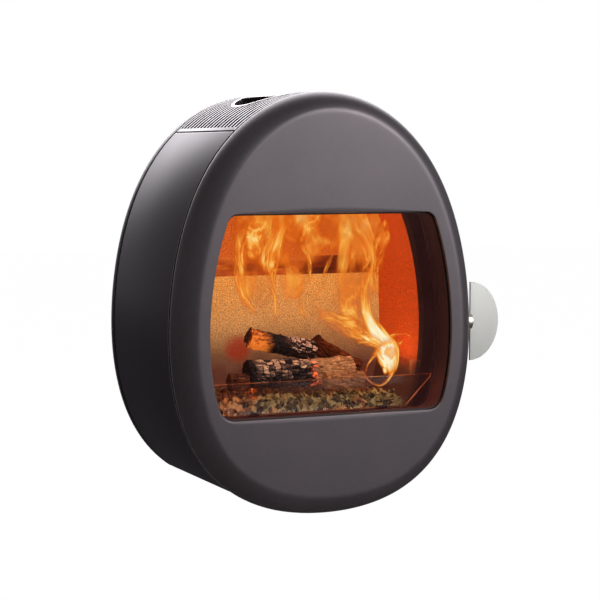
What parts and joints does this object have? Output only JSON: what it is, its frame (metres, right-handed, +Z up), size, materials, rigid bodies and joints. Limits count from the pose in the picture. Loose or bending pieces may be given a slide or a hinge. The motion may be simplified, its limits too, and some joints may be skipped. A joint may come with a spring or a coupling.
{
  "type": "wall-hung wood stove",
  "caption": "Egg-shaped wall-hung wood stove with a large glazed door, a side handle and a slotted top around its flue, lit, with logs.",
  "frame": {"origin": "middle of the wall bracket's back face, which lies on the wall", "axes": "+X to the right seen from the front, +Y from the door to the wall, +Z up"},
  "size_m": [0.5675, 0.336, 0.6558],
  "materials": {
    "door_enamel": "matte",
    "casing_enamel": "satin",
    "black_enamel": "satin",
    "bright_steel": "polished",
    "plain_steel": "satin",
    "grip_steel": "brushed",
    "iron": "matte",
    "frame_enamel": "satin",
    "vermiculite": "matte",
    "rope": "matte",
    "wood": "rough",
    "ash": "rough",
    "clear_glass": "clear"
  },
  "bodies": {
    "body": {"wall_bracket": "black_enamel", "rear_casing": "casing_enamel", "side_panel_right": "casing_enamel", "side_panel_left": "casing_enamel", "top_grille": "casing_enamel", "flue_rim": "bright_steel", "bottom_plate": "black_enamel", "hanger_upper": "black_enamel", "hanger_lower": "black_enamel", "rear_heat_shield": "plain_steel", "front_frame": "iron", "firebox_shell": "iron", "flue_collar": "black_enamel", "base_lining": "vermiculite", "grate": "iron", "lining_right": "vermiculite", "lining_left": "vermiculite", "lining_back_lower": "vermiculite", "lining_back_upper": "vermiculite", "air_manifold": "iron", "rear_air_duct": "iron", "baffle_lower": "vermiculite", "baffle_upper": "iron", "air_box": "iron", "air_inlet_spigot": "plain_steel", "log_retainer_glass": "clear_glass", "log_retainer_wing_right": "clear_glass", "log_retainer_wing_left": "clear_glass", "retainer_clip_right": "iron", "retainer_clip_left": "iron", "ash_bed": "ash", "log_front": "wood", "log_rear": "wood", "log_right": "wood", "log_upper": "wood", "log_left": "wood", "log_leaning": "wood", "hinge_bracket_lower": "black_enamel", "hinge_pin_lower": "plain_steel", "hinge_bracket_upper": "black_enamel", "hinge_pin_upper": "plain_steel", "latch_keeper": "plain_steel"},
    "door": {"front_plate": "door_enamel", "glass_seal": "rope", "door_glass": "clear_glass", "door_frame": "frame_enamel", "door_seal": "rope", "frame_screw_1": "plain_steel", "frame_screw_2": "plain_steel", "frame_screw_3": "plain_steel", "frame_screw_4": "plain_steel", "hinge_arm_lower": "black_enamel", "hinge_arm_upper": "black_enamel", "latch_bush": "plain_steel"},
    "handle": {"handle_stem": "plain_steel", "handle_grip": "grip_steel", "latch_cam": "plain_steel"},
    "air_control": {"air_slide": "iron", "air_lever": "plain_steel", "air_knob": "black_enamel"}
  },
  "joints": [
    {"name": "door_hinge", "type": "hinge", "parent": "body", "child": "door", "pos_m": [-0.2346, -0.27, -0.04192], "axis": [0, 0, -1], "range_deg": [0, 90]},
    {"name": "handle_turn", "type": "hinge", "parent": "door", "child": "handle", "pos_m": [0.26, -0.28825, -0.03492], "axis": [1, 0, 0], "range_deg": [0, 60]},
    {"name": "air_slide", "type": "slide", "parent": "body", "child": "air_control", "axis": [0, 1, 0], "range_m": [0, 0.036]}
  ]
}
